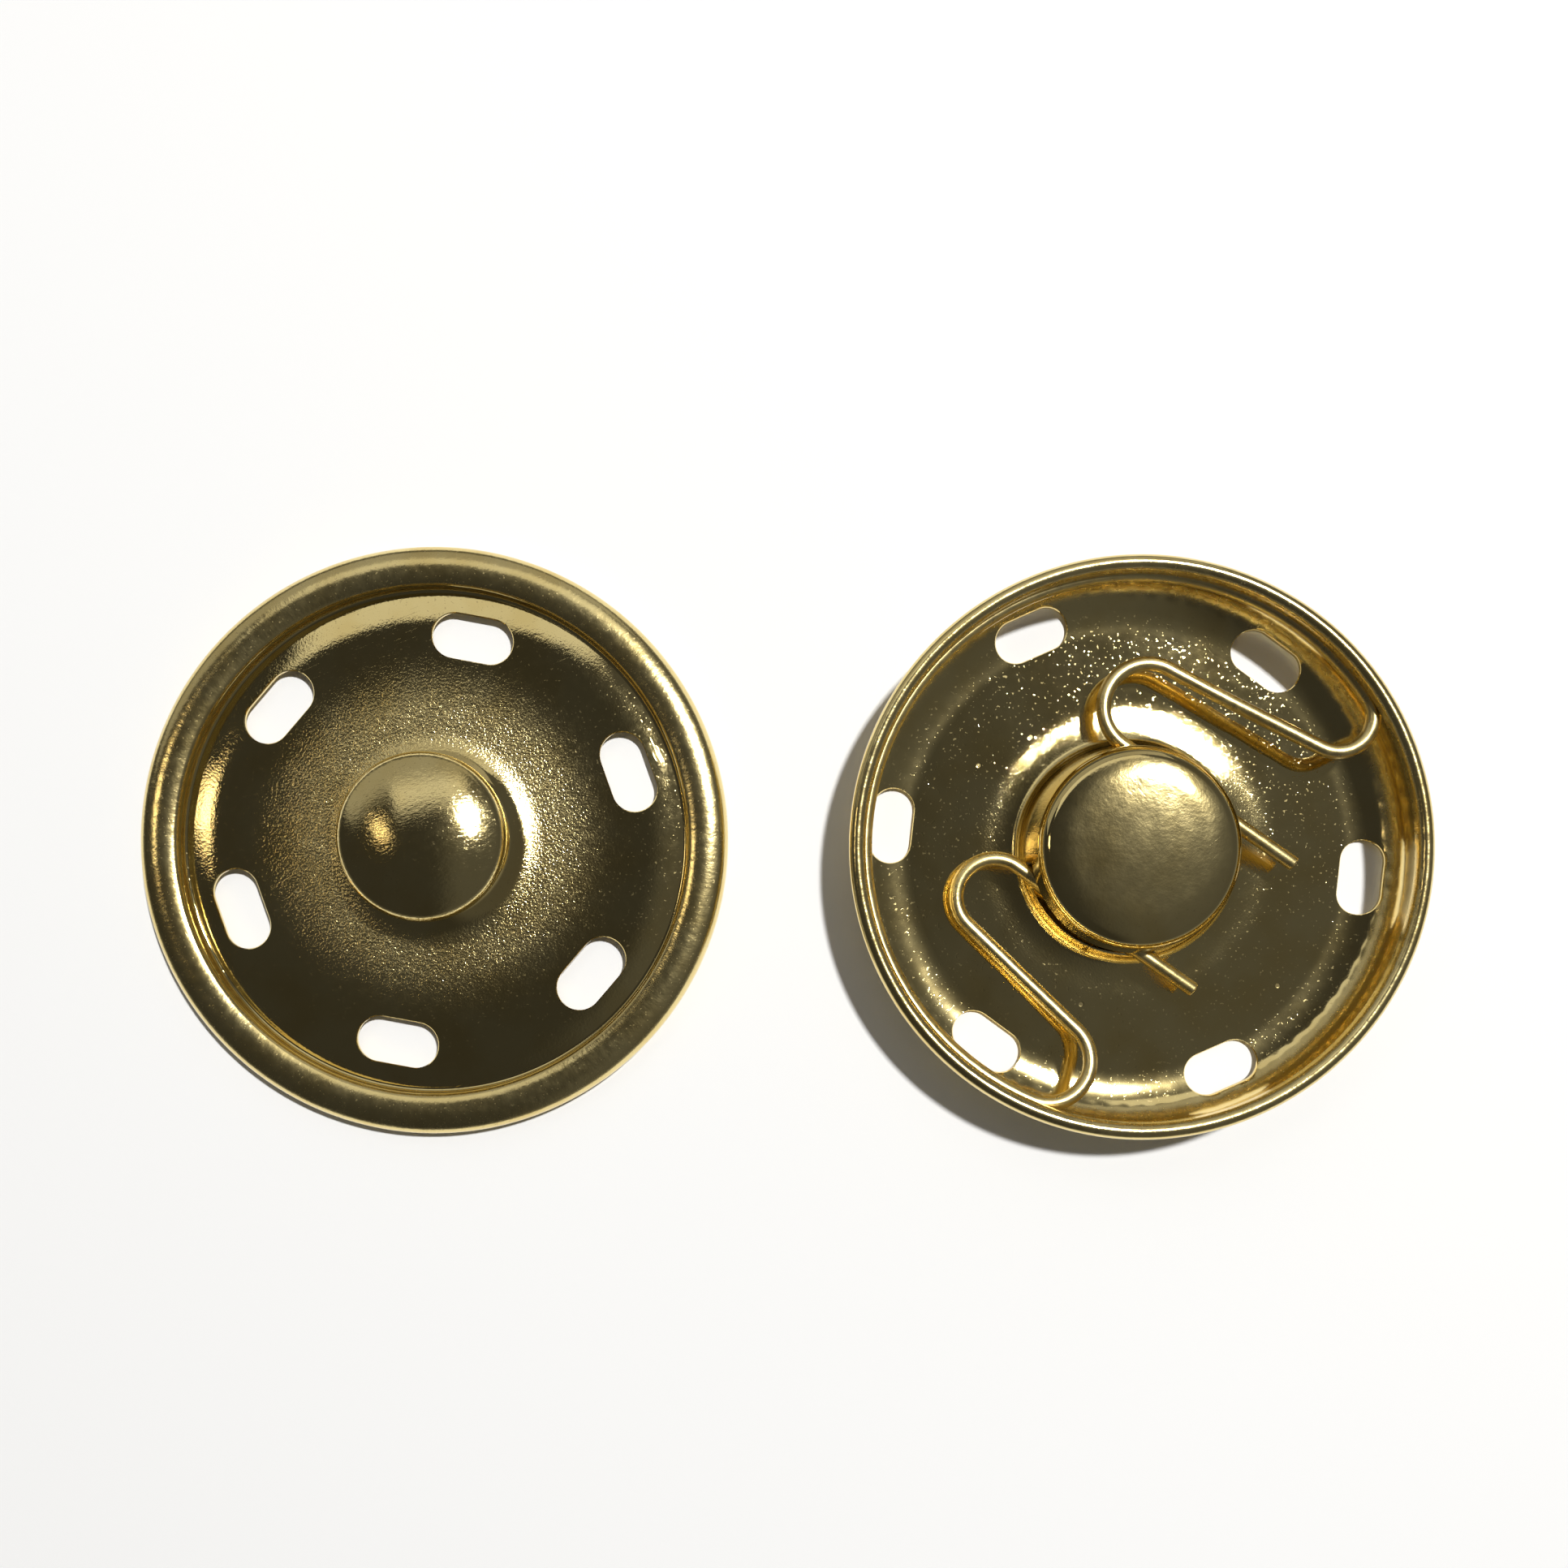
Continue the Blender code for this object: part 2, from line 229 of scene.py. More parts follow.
def slotCutter(circle, length, width, turn, skinHeight):
    # skinHeight gives the height of the sheet's (lower, upper) skin at a distance from the axis
    bm = bmesh.new()
    slotOutline(bm, length, width)
    loop = bm.edges[:]
    bmesh.ops.translate(bm, verts=bm.verts, vec=(circle, 0.0, 0.0))
    # each level has a skin (0 lower, 1 upper), a height from it and a share of the flare
    rise, clear = slotFlare["rise"], slotFlare["clear"]
    middle, past = slotFlare["middle"], slotFlare["past"]
    levels = [(0, -clear, past), (0, -rise, 1.0), (0, 0.0, middle), (0, rise, 0.0),
              (1, -rise, 0.0), (1, 0.0, middle), (1, rise, 1.0), (1, clear, past)]
    halfRun = (length - width) / 2

    def shapeLevel(verts, home, level):
        skin, offset, flare = level
        for vert, spot in zip(verts, home):
            away = Vector((spot.x - circle, spot.y - max(-halfRun, min(halfRun, spot.y)), 0.0))
            vert.co = spot + away.normalized() * slotFlare["reach"] * flare
            vert.co.z = skinHeight(vert.co.to_2d().length)[skin] + offset

    order = bm.verts[:]
    home = [vert.co.copy() for vert in order]
    shapeLevel(order, home, levels[0])
    bmesh.ops.edgeloop_fill(bm, edges=loop)
    edges = loop
    for level in levels[1:]:
        grown = bmesh.ops.extrude_edge_only(bm, edges=edges)["geom"]
        verts = [item for item in grown if isinstance(item, bmesh.types.BMVert)]
        edges = [item for item in grown if isinstance(item, bmesh.types.BMEdge)]
        # an extruded vert stands on the one that it came from
        nearest = []
        for vert in verts:
            gaps = [(vert.co - old.co).length for old in order]
            nearest.append(gaps.index(min(gaps)))
        slots = [None] * len(order)
        for vert, index in zip(verts, nearest):
            slots[index] = vert
        order = slots
        shapeLevel(order, home, level)
    bmesh.ops.edgeloop_fill(bm, edges=edges)
    bmesh.ops.rotate(bm, verts=bm.verts, cent=(0, 0, 0), matrix=Matrix.Rotation(turn, 3, "Z"))
    bmesh.ops.recalc_face_normals(bm, faces=bm.faces)
    return pieceFrom(bm, "slot")


# socket half, its main sizes as in the solid that it replaces

socket = {
    "height": 4.7,
    "capDome": 80.0,
    "capEdge": 5.0,
    "capRound": 0.8,
    "capFlat": 3.3,
    "capShoulder": 8.0,
    "mouth": 7.1,
    "cupFoot": 5.4,
    "mouthRound": 0.6,
    "skirt": 8.0,
    "bowl": 6.0,
    "bowlTilt": math.radians(18.5),
    "corner": 1.7,
    "wallLean": 1.436,
    "curl": 0.4,
    "curlEnd": math.radians(264.0),
    "lip": 0.42,
    "slotLength": 3.8,
    "slotWidth": 2.1,
    "slotMargin": 1.15,
    "slotTurn": math.radians(53.7),
    "slotCount": 6,
    "sharpAngle": 35.0,
}
wire = {
    "across": 0.75,
    "legOffset": 4.0,
    "legHeight": 2.2,
    "turn": math.radians(-35.0),
    "ringGap": 0.04,
    "slitGap": 0.12,
    "sides": 7,
    "sag": 0.0025,
    "riseSteps": 24,
    "ringSteps": 150,
    "endRound": 0.09,
    "endSteps": 4,
    "endAngle": 60.0,
    "sharpAngle": 50.0,
}
nearPin = {"tail": 7.0, "turnAt": -3.45, "turnRound": 2.2,
           "hookRound": 1.65, "hookAngle": math.radians(67.9)}
farPin = {"tail": 6.5, "turnAt": -4.3, "turnRound": 1.9,
          "hookRound": 2.1, "hookAngle": math.radians(77.9)}


def socketArcs():
    # the cap is nearly flat as far as capFlat, and rounds over to its edge from there
    dome = Vector((0.0, socket["height"] - socket["capDome"]))
    lean = math.asin(socket["capFlat"] / socket["capDome"])
    shoulder = dome + (socket["capDome"] - socket["capShoulder"]) * leftOf(-lean)
    edge = socket["capEdge"] - socket["capRound"]
    reachOver = socket["capShoulder"] - socket["capRound"]
    edgeUp = shoulder.y + math.sqrt(reachOver ** 2 - (edge - shoulder.x) ** 2)
    # the cup's wall turns out tightly, and runs on to the flat floor in a wide arc
    turnIn = socket["cupFoot"] + socket["mouthRound"]
    wider = socket["skirt"] - socket["mouthRound"]
    turnUp = sheet + socket["skirt"] - math.sqrt(wider ** 2 - (socket["mouth"] - turnIn) ** 2)
    curl = Vector((socketRim - socket["curl"], socket["height"] - socket["curl"]))
    cornerIn = curl.x - socket["wallLean"]
    reach = socket["bowl"] - socket["corner"]
    bowlIn = cornerIn - reach * math.sin(socket["bowlTilt"])
    cornerUp = socket["bowl"] - reach * math.cos(socket["bowlTilt"])
    return [
        (dome, -socket["capDome"]),
        (shoulder, -socket["capShoulder"]),
        (Vector((edge, edgeUp)), -socket["capRound"]),
        (Vector((turnIn, turnUp)), socket["mouthRound"]),
        (Vector((socket["mouth"], sheet + socket["skirt"])), socket["skirt"]),
        (Vector((bowlIn, socket["bowl"])), socket["bowl"] - sheet),
        (Vector((cornerIn, cornerUp)), socket["corner"] - sheet),
        (curl, socket["curl"] - sheet),
    ]


def socketSkins(distance):
    # the slots lie in the sixth arc, the bowl
    centre, radius = socketArcs()[5]
    past = max(0.0, distance - centre.x)
    lower = centre.y - math.sqrt((radius + sheet) ** 2 - past ** 2)
    upper = centre.y - math.sqrt(radius ** 2 - past ** 2)
    return lower, upper


def makeSocket():
    bm = turnSheet(socketArcs(), 0.0, socket["curlEnd"], socket["lip"])
    piece = pieceFrom(bm, "socket_shell")
    circle = socketRim - socket["slotMargin"] - socket["slotWidth"] / 2
    cutters = []
    for number in range(socket["slotCount"]):
        turn = socket["slotTurn"] + fullTurn * number / socket["slotCount"]
        cutters.append(slotCutter(circle, socket["slotLength"], socket["slotWidth"], turn,
                                  socketSkins))
    inner = wire["legOffset"] - wire["across"] / 2 - wire["slitGap"]
    height = wire["across"] + 2 * wire["slitGap"]
    for side in (1, -1):
        bm = bmesh.new()
        bmesh.ops.create_cube(bm, size=1.0)
        bmesh.ops.scale(bm, verts=bm.verts,
                        vec=(2 * socket["mouth"], socket["mouth"] - inner, height))
        bmesh.ops.translate(bm, verts=bm.verts,
                            vec=(0.0, side * (inner + socket["mouth"]) / 2, wire["legHeight"]))
        bmesh.ops.rotate(bm, verts=bm.verts, matrix=Matrix.Rotation(wire["turn"], 3, "Z"))
        cutters.append(pieceFrom(bm, "slit"))
    carve(piece, cutters)
    settle(piece, socketPlace, socket["sharpAngle"])
    return piece


# wire spring: two hairpins and the ring under the rolled rim, one wire

def socketWall(height):
    arcs = socketArcs()
    heading = tangentHeading(arcs[-2], arcs[-1])
    foot = arcs[-2][0] - arcs[-2][1] * leftOf(heading)
    return foot.x + (height - foot.y) / math.tan(heading)


def lipHeight():
    centre, radius = socketArcs()[-1]
    spots = [centre - radius * leftOf(socket["curlEnd"]),
             centre - (radius + sheet) * leftOf(socket["curlEnd"])]
    return min(spot.y for spot in spots) + socket["lip"] * math.sin(socket["curlEnd"])


def flatPath(arcs, start, end):
    points = []
    turnEnd = 0
    for (centre, radius), (heading, sweep) in zip(arcs, arcSweeps(arcs, start, end)):
        step = 2 * math.acos(1 - wire["sag"] / abs(radius))
        count = math.ceil(abs(sweep) / step)
        points += [centre - radius * leftOf(heading + sweep * n / count) for n in range(count + 1)]
        turnEnd = turnEnd or len(points) - 1
    return points, turnEnd


def hairpin(pin, ringRadius, ringHeight):
    turn = Vector((pin["turnAt"], wire["legOffset"] + pin["turnRound"]))
    angle = pin["hookAngle"]
    hook = (ringRadius - pin["hookRound"]) * Vector((math.cos(angle), math.sin(angle)))
    arcs = [(turn, -pin["turnRound"]), (hook, pin["hookRound"])]
    flat, turnEnd = flatPath(arcs, halfTurn, angle + halfTurn / 2)
    # the long run is split up, so that its rise is a smooth curve
    begin, finish = flat[turnEnd], flat[turnEnd + 1]
    steps = wire["riseSteps"]
    extra = [begin.lerp(finish, n / steps) for n in range(1, steps)]
    tail = Vector((pin["tail"], wire["legOffset"]))
    flat = [tail] + flat[:turnEnd + 1] + extra + flat[turnEnd + 1:]
    riseFrom = turnEnd + 1
    lengths = [0.0]
    for before, after in zip(flat, flat[1:]):
        lengths.append(lengths[-1] + (after - before).length)
    route = []
    for point, length in zip(flat, lengths):
        share = max(0.0, (length - lengths[riseFrom]) / (lengths[-1] - lengths[riseFrom]))
        eased = share * share * (3 - 2 * share)
        height = wire["legHeight"] + (ringHeight - wire["legHeight"]) * eased
        route.append(Vector((point.x, point.y, height)))
    return route


def springRoute():
    radius = wire["across"] / 2
    ringHeight = lipHeight() - wire["ringGap"] - radius
    ringRadius = socketWall(ringHeight - radius) - radius - wire["ringGap"]
    near = hairpin(nearPin, ringRadius, ringHeight)
    far = [Vector((p.x, -p.y, p.z)) for p in hairpin(farPin, ringRadius, ringHeight)]
    begin = nearPin["hookAngle"]
    sweep = fullTurn - begin - farPin["hookAngle"]
    ring = []
    for n in range(1, wire["ringSteps"]):
        angle = begin + sweep * n / wire["ringSteps"]
        x, y = ringRadius * math.cos(angle), ringRadius * math.sin(angle)
        ring.append(Vector((x, y, ringHeight)))
    return near + ring + far[::-1]


def makeSpring():
    curve = bpy.data.curves.new("spring_route", "CURVE")
    curve.dimensions = "3D"
    curve.bevel_depth = wire["across"] / 2
    curve.bevel_resolution = wire["sides"]
    curve.use_fill_caps = True
    whole = springRoute()
    route = whole[:1]
    for point in whole[1:]:
        if (point - route[-1]).length > tiny:
            route.append(point)
    spline = curve.splines.new("POLY")
    spline.points.add(len(route) - 1)
    for spot, point in zip(spline.points, route):
        spot.co = (*point, 1.0)
    drawn = bpy.data.objects.new("spring_route", curve)
    scene.collection.objects.link(drawn)
    bpy.context.view_layer.update()
    graph = bpy.context.evaluated_depsgraph_get()
    mesh = bpy.data.meshes.new_from_object(drawn.evaluated_get(graph))
    bpy.data.objects.remove(drawn)
    bm = bmesh.new()
    bm.from_mesh(mesh)
    bmesh.ops.remove_doubles(bm, verts=bm.verts, dist=merge)
    # both ends were cut and lightly tumbled, so their edges are round
    steepest = math.radians(wire["endAngle"])
    ends = [edge for edge in bm.edges if edge.calc_face_angle(0.0) > steepest]
    bmesh.ops.bevel(bm, geom=ends, offset=wire["endRound"], segments=wire["endSteps"],
                    profile=0.5, affect="EDGES", material=-1)
    bmesh.ops.rotate(bm, verts=bm.verts, matrix=Matrix.Rotation(wire["turn"], 3, "Z"))
    bmesh.ops.recalc_face_normals(bm, faces=bm.faces)
    piece = pieceFrom(bm, "spring_wire")
    settle(piece, socketPlace, wire["sharpAngle"])
    return piece


# stud half

stud = {
    "floor": 0.8,
    "crownGap": 0.2,
    "gripGap": 0.075,
    "head": 4.19,
    "headRound": 0.7,
    "neckRun": 0.02,
    "flare": 1.14,
    "foot": 3.0,
    "footLean": math.radians(28.0),
    "beadWidth": 2.25,
    "beadHeight": 1.6,
    "shoulderWidth": 1.9,
    "shoulder": 8.0,
    "valleyRound": 0.2,
    "valleyDepth": 0.2,
    "beadInner": 0.36,
    "beadOuter": 0.7,
    "crestInset": 1.15,
    "beadTop": 2.0,
    "beadLean": math.radians(20.0),
    "hemRound": 0.45,
    "hem": 0.2,
    "slotLength": 4.15,
    "slotWidth": 2.3,
    "slotMargin": 1.05,
    "slotTurn": math.radians(19.5),
    "slotCount": 6,
    "sharpAngle": 35.0,
}


def studArcs():
    crown = stud["floor"] + socket["height"] - sheet - stud["crownGap"]
    neck = wire["legOffset"] - wire["across"] / 2 - stud["gripGap"]
    # the flare runs out to the floor in a wider arc
    wider = stud["foot"] - stud["flare"]
    lift = wider * (1 - math.cos(stud["footLean"]))
    flare = Vector((neck + stud["flare"], stud["floor"] + stud["flare"] + lift))
    foot = Vector((flare.x + wider * math.sin(stud["footLean"]), stud["floor"] + stud["foot"]))
    headIn = stud["head"] - stud["headRound"]
    gap = stud["flare"] + stud["headRound"]
    headUp = flare.y + math.sqrt(gap ** 2 - (flare.x - headIn) ** 2) + stud["neckRun"]
    rise = crown - headUp
    over = 2 * (rise - stud["headRound"])
    dome = (headIn ** 2 + rise ** 2 - stud["headRound"] ** 2) / over
    valleyIn = studRim - stud["beadWidth"]
    valleyUp = stud["floor"] - stud["valleyDepth"] + stud["valleyRound"]
    crest = Vector((studRim - stud["crestInset"], stud["beadHeight"] - stud["beadTop"]))
    inner = crest + (stud["beadTop"] - stud["beadInner"]) * leftOf(stud["beadLean"])
    outerReach = stud["beadTop"] - stud["beadOuter"]
    outerLean = math.asin((studRim - stud["beadOuter"] - crest.x) / outerReach)
    outer = crest + outerReach * leftOf(-outerLean)
    shoulder = Vector((valleyIn - stud["shoulderWidth"], stud["floor"] - stud["shoulder"]))
    return [
        (Vector((0.0, crown - dome)), -dome),
        (Vector((headIn, headUp)), -stud["headRound"]),
        (flare, stud["flare"]),
        (foot, stud["foot"]),
        (shoulder, -stud["shoulder"]),
        (Vector((valleyIn, valleyUp)), stud["valleyRound"]),
        (inner, -stud["beadInner"]),
        (crest, -stud["beadTop"]),
        (outer, -stud["beadOuter"]),
        (Vector((studRim - stud["hemRound"], stud["hemRound"])), -stud["hemRound"]),
    ]


def studSkins(distance):
    # the slots lie in the fifth arc, the shoulder
    centre, radius = studArcs()[4]
    past = max(0.0, distance - centre.x)
    upper = centre.y + math.sqrt(radius ** 2 - past ** 2)
    return upper - sheet, upper


def makeStud():
    bm = turnSheet(studArcs(), 0.0, -halfTurn, stud["hem"])
    piece = pieceFrom(bm, "stud_shell")
    circle = studRim - stud["beadWidth"] - stud["slotMargin"] - stud["slotWidth"] / 2
    cutters = []
    for number in range(stud["slotCount"]):
        turn = stud["slotTurn"] + fullTurn * number / stud["slotCount"]
        cutters.append(slotCutter(circle, stud["slotLength"], stud["slotWidth"], turn,
                                  studSkins))
    carve(piece, cutters)
    settle(piece, studPlace, stud["sharpAngle"])
    return piece


# shader maths as plain expressions

class Value:
    def __init__(self, finish, socket):
        self.finish = finish
        self.socket = socket

    def maths(self, operation, *others):
        return self.finish.node("ShaderNodeMath", {"operation": operation},
                                {n: v for n, v in enumerate((self,) + others)})

    def __add__(self, other):
        return self.maths("ADD", other)

    def __sub__(self, other):
        return self.maths("SUBTRACT", other)

    def __rsub__(self, other):
        return self.finish.node("ShaderNodeMath", {"operation": "SUBTRACT"}, {0: other, 1: self})

    def __mul__(self, other):
        return self.maths("MULTIPLY", other)

    def __truediv__(self, other):
        return self.maths("DIVIDE", other)

    def __pow__(self, other):
        return self.maths("POWER", other)

    def clamp(self):
        return self.finish.node("ShaderNodeClamp", {}, {"Value": self})

    def ramp(self, low, high, toLow=0.0, toHigh=1.0):
        return self.finish.node("ShaderNodeMapRange", {"interpolation_type": "SMOOTHSTEP"}, {
            "Value": self, "From Min": low, "From Max": high, "To Min": toLow, "To Max": toHigh})

    def rise(self, span):
        return self.ramp(*span)

    def fall(self, span, least=0.0):
        return self.ramp(*span, 1.0, least)


class Finish:
    # one metal finish, its nodes and its Principled shader
    def __init__(self, name):
        self.material = bpy.data.materials.new(name)
        self.material.use_nodes = True
        self.tree = self.material.node_tree
        self.shader = self.tree.nodes["Principled BSDF"]

    def node(self, kind, settings, values, output=0):
        made = self.tree.nodes.new(kind)
        for name, setting in settings.items():
            setattr(made, name, setting)
        for name, value in values.items():
            if isinstance(value, Value):
                self.tree.links.new(value.socket, made.inputs[name])
            else:
                made.inputs[name].default_value = value
        return Value(self, made.outputs[output])

    def join(self, value, name):
        self.tree.links.new(value.socket, self.shader.inputs[name])

    def mix(self, factor, first, second):
        made = self.tree.nodes.new("ShaderNodeMix")
        made.data_type = "RGBA"
        for index, value in ((0, factor), (6, first), (7, second)):
            if isinstance(value, Value):
                self.tree.links.new(value.socket, made.inputs[index])
            else:
                made.inputs[index].default_value = value
        return Value(self, made.outputs[2])


def aboutAxis(finish, place):
    # millimetres from the piece's own axis: the vector, x, y, height and distance
    spot = finish.node("ShaderNodeTexCoord", {}, {}, "Object")
    spot = finish.node("ShaderNodeMapping", {"vector_type": "POINT"}, {
        "Vector": spot, "Location": tuple(-place * 1000), "Scale": (1000, 1000, 1000)})
    split = finish.tree.nodes.new("ShaderNodeSeparateXYZ")
    finish.tree.links.new(spot.socket, split.inputs[0])
    x, y, z = (Value(finish, out) for out in split.outputs)
    distance = (x * x + y * y) ** 0.5
    return spot, x, y, z, distance


def noise(finish, vector, scale, detail=2.0, rough=0.5, stretch=(1, 1, 1), turn=0.0):
    moved = finish.node("ShaderNodeMapping", {"vector_type": "TEXTURE"}, {
        "Vector": vector, "Rotation": (0.0, 0.0, turn), "Scale": tuple(1 / s for s in stretch)})
    return finish.node("ShaderNodeTexNoise", {"noise_dimensions": "3D"}, {
        "Vector": moved, "Scale": scale, "Detail": detail, "Roughness": rough})


def wrinkles(finish, x, y, distance, count, along):
    # fine folds that run across a curled edge: noise on a circle, so it has no seam
    vector = finish.node("ShaderNodeCombineXYZ", {}, {
        0: x / distance * count, 1: y / distance * count, 2: distance * along})
    return finish.node("ShaderNodeTexNoise", {"noise_dimensions": "3D"}, {
        "Vector": vector, "Scale": 1.0, "Detail": 2.0, "Roughness": 0.6})


def grit(finish, vector, scale, low, high):
    # small round specks, where a fine noise peaks
    return noise(finish, vector, scale, 1.0).ramp(low, high)


def scallops(finish, spot, x, y, count, jitter):
    # even folds all round an edge, a little out of step with each other
    around = y.maths("ARCTAN2", x) * count + noise(finish, spot, 0.6, 1.0) * jitter
    return around.maths("SINE")


def mark(finish, x, y, place, reach):
    # one worn spot, (x, y) in millimetres from the axis
    away = ((x - place[0]) ** 2.0 + (y - place[1]) ** 2.0) ** 0.5
    return away.ramp(reach * 0.5, reach, 1.0, 0.0)


hair = {"along": 0.7, "soft": 0.07, "patch": 0.6, "patchSpan": (0.45, 0.6)}


def hairlines(finish, vector, turn, fine, low):
    # short hair scratches that all run one way, kept to patches
    lines = noise(finish, vector, 1.0, 0.0, 0.5, (hair["along"], fine, 1.0), turn)
    patches = noise(finish, vector, hair["patch"], 1.0).rise(hair["patchSpan"])
    return lines.ramp(low, low + hair["soft"]) * patches


def bump(finish, layers):
    # layers are (height, depth in millimetres)
    total = None
    for height, depth in layers:
        part = height * depth
        total = part if total is None else total + part
    normal = finish.node("ShaderNodeBump", {}, {
        "Strength": 1.0, "Distance": mm, "Height": total}, "Normal")
    finish.join(normal, "Normal")


gilt = {
    "bright": (0.87, 0.71, 0.33, 1.0),
    "deep": (0.80, 0.62, 0.25, 1.0),
    "dull": (0.45, 0.34, 0.16, 1.0),
    "roughness": 0.035,
    "toneScale": 0.35,
    "toneSpan": (0.35, 0.75),
    "speckTint": 0.4,
    "noiseSpan": (0.3, 0.8),
}


def giltColour(finish, spot, specks):
    tone = noise(finish, spot, gilt["toneScale"], 3.0)
    colour = finish.mix(tone.rise(gilt["toneSpan"]), gilt["bright"], gilt["deep"])
    return finish.mix(specks * gilt["speckTint"], colour, gilt["dull"])


def sheetWear(finish, spot, metal):
    # what both halves share: shallow waves, fine grain and crossing hair scratches
    waves = noise(finish, spot, metal["waveScale"], 1.0)
    grain = noise(finish, spot, metal["fineScale"])
    (turnA, fineA), (turnB, fineB) = metal["hairRuns"]
    hairs = (hairlines(finish, spot, turnA, fineA, metal["hairLow"])
             + hairlines(finish, spot, turnB, fineB, metal["hairLow"]))
    return [(waves, metal["waveDepth"]), (grain, metal["fineDepth"]),
            (hairs.clamp(), -metal["hairDepth"])]


def unevenShine(finish, spot, metal):
    return noise(finish, spot, metal["unevenScale"], 3.0).ramp(*gilt["noiseSpan"],
                                                               *metal["unevenSpan"])


# in the finishes, spans are in millimetres from the axis, or up from the table for headUp and
# capUp, depths are in millimetres, and a name with Rough is added to the roughness there
studMetal = {
    "headEdge": (4.15, 4.35),
    "headUp": (3.0, 3.4),
    "floorFrom": (4.3, 4.9),
    "floorTo": (12.0, 12.6),
    "footFade": (6.0, 10.5),
    "footLeast": 0.15,
    "beadFrom": (12.6, 13.0),
    "peelScale": 7.5,
    "peelDepth": 0.034,
    "brushScale": 3.0,
    "brushStretch": (1.0, 2.4, 1.0),
    "brushTurn": 0.25,
    "brushDepth": 0.012,
    "foldCount": 40.0,
    "foldAlong": 2.0,
    "foldDepth": 0.012,
    "waveScale": 0.45,
    "waveDepth": 0.02,
    "fineScale": 16.0,
    "fineDepth": 0.0012,
    "hairRuns": ((0.4, 16.0), (2.0, 18.0)),
    "hairLow": 0.72,
    "hairDepth": 0.0005,
    "speckScale": 7.0,
    "speckSpan": (0.66, 0.74),
    "speckRough": 0.12,
    "unevenScale": 2.4,
    "unevenSpan": (-0.015, 0.025),
    "headRough": 0.06,
    "beadRough": 0.15,
    "footRough": 0.15,
}


def studFinish():
    metal = studMetal
    finish = Finish("gilt_stud")
    spot, x, y, z, distance = aboutAxis(finish, studPlace)
    specks = grit(finish, spot, metal["speckScale"], *metal["speckSpan"])
    headHere = distance.fall(metal["headEdge"]) * z.rise(metal["headUp"])
    floorHere = distance.rise(metal["floorFrom"]) * distance.fall(metal["floorTo"])
    footHere = distance.fall(metal["footFade"], metal["footLeast"]) * floorHere
    beadHere = distance.rise(metal["beadFrom"])
    # the drawn sheet has an orange peel, strongest next to the stud
    peel = noise(finish, spot, metal["peelScale"], 2.0, 0.6) * footHere
    brushed = noise(finish, spot, metal["brushScale"], 3.0, 0.7, metal["brushStretch"],
                    metal["brushTurn"]) * headHere
    folds = wrinkles(finish, x, y, distance, metal["foldCount"], metal["foldAlong"]) * beadHere
    bump(finish, [(peel, metal["peelDepth"]), (brushed, metal["brushDepth"]),
                  (folds, metal["foldDepth"])] + sheetWear(finish, spot, metal))
    satin = (headHere * metal["headRough"] + beadHere * metal["beadRough"]
             + footHere * metal["footRough"])
    finish.join(giltColour(finish, spot, specks), "Base Color")
    finish.join(unevenShine(finish, spot, metal) + satin + specks * metal["speckRough"]
                + gilt["roughness"], "Roughness")
    finish.shader.inputs["Metallic"].default_value = 1.0
    return finish.material


socketMetal = {
    "capEdge": (4.3, 4.7),
    "capUp": (3.8, 4.1),
    "drawnFrom": (5.0, 5.6),
    "drawnTo": (6.8, 8.0),
    "floorFrom": (6.5, 7.5),
    "floorTo": (12.4, 12.8),
    "bowlFrom": (10.9, 11.5),
    "bowlTo": (12.7, 13.1),
    "wallFrom": (12.7, 13.1),
    "wallTo": (13.4, 13.7),
    "wallLeast": 0.3,
    "rimFrom": (12.9, 13.3),
    "blotchScale": 4.5,
    "blotchDepth": 0.004,
    "grainScale": 6.0,
    "grainStretch": (1.0, 2.0, 1.0),
    "grainTurn": -0.9,
    "grainDepth": 0.007,
    "dentScale": 5.0,
    "dentSpan": (0.67, 0.77),
    "dentDepth": 0.002,
    "scallopCount": 72.0,
    "scallopJitter": 8.0,
    "scallopDepth": 0.007,
    "creaseCount": 40.0,
    "creaseAlong": 2.0,
    "creaseDepth": 0.010,
    "waveScale": 0.45,
    "waveDepth": 0.02,
    "fineScale": 14.0,
    "fineDepth": 0.0004,
    "hairRuns": ((0.7, 16.0), (2.3, 18.0)),
    "hairLow": 0.76,
    "hairDepth": 0.0003,
    "speckScale": 6.0,
    "speckSpan": (0.66, 0.73),
    "speckTint": 0.5,
    "speckRough": 0.09,
    "unevenScale": 2.0,
    "unevenSpan": (-0.006, 0.008),
    "capRough": 0.06,
    "wallRough": 0.14,
    "rimRough": 0.10,
    "drawnRough": 0.05,
    "bowlRough": 0.05,
    "marks": ((7.75, -6.82), (-7.48, 4.40), (-4.83, 5.85), (-2.27, -7.77)),
    "markReach": 0.17,
    "markDepth": 0.006,
    "markRough": 0.12,
}


